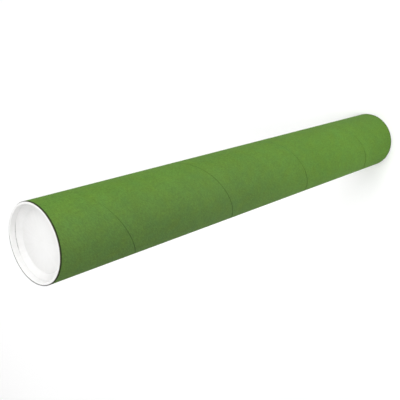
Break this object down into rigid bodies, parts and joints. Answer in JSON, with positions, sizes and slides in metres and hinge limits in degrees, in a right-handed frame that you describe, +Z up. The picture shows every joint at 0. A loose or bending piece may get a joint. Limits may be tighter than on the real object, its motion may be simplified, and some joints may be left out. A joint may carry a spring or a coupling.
{
  "type": "mailing tube",
  "caption": "Long spiral-wound paperboard mailing tube with a recessed white plastic plug pushed into each end, for posting rolled papers.",
  "frame": {"origin": "centre of the bottom end cap's outer face, in the plane it stands on", "axes": "+Z up along the tube's axis towards the top end cap; the tube is round, so X and Y are free, and -Y is the side the picture shows"},
  "size_m": [0.0801, 0.0802, 0.611],
  "materials": {
    "green_paperboard": "matte green outer paper, brown kraft inside and at the cut ends",
    "white_plastic": "satin moulded polyethylene"
  },
  "bodies": {
    "bottom_end_cap": {"bottom_end_cap": "white_plastic"},
    "tube": {"tube": "green_paperboard"},
    "top_end_cap": {"top_end_cap": "white_plastic"}
  },
  "joints": [
    {"name": "bottom_cap_pull", "type": "slide", "parent": "bottom_end_cap", "child": "tube", "axis": [0, 0, 1], "range_m": [0, 0.05]},
    {"name": "top_cap_pull", "type": "slide", "parent": "tube", "child": "top_end_cap", "axis": [0, 0, 1], "range_m": [0, 0.05]}
  ]
}
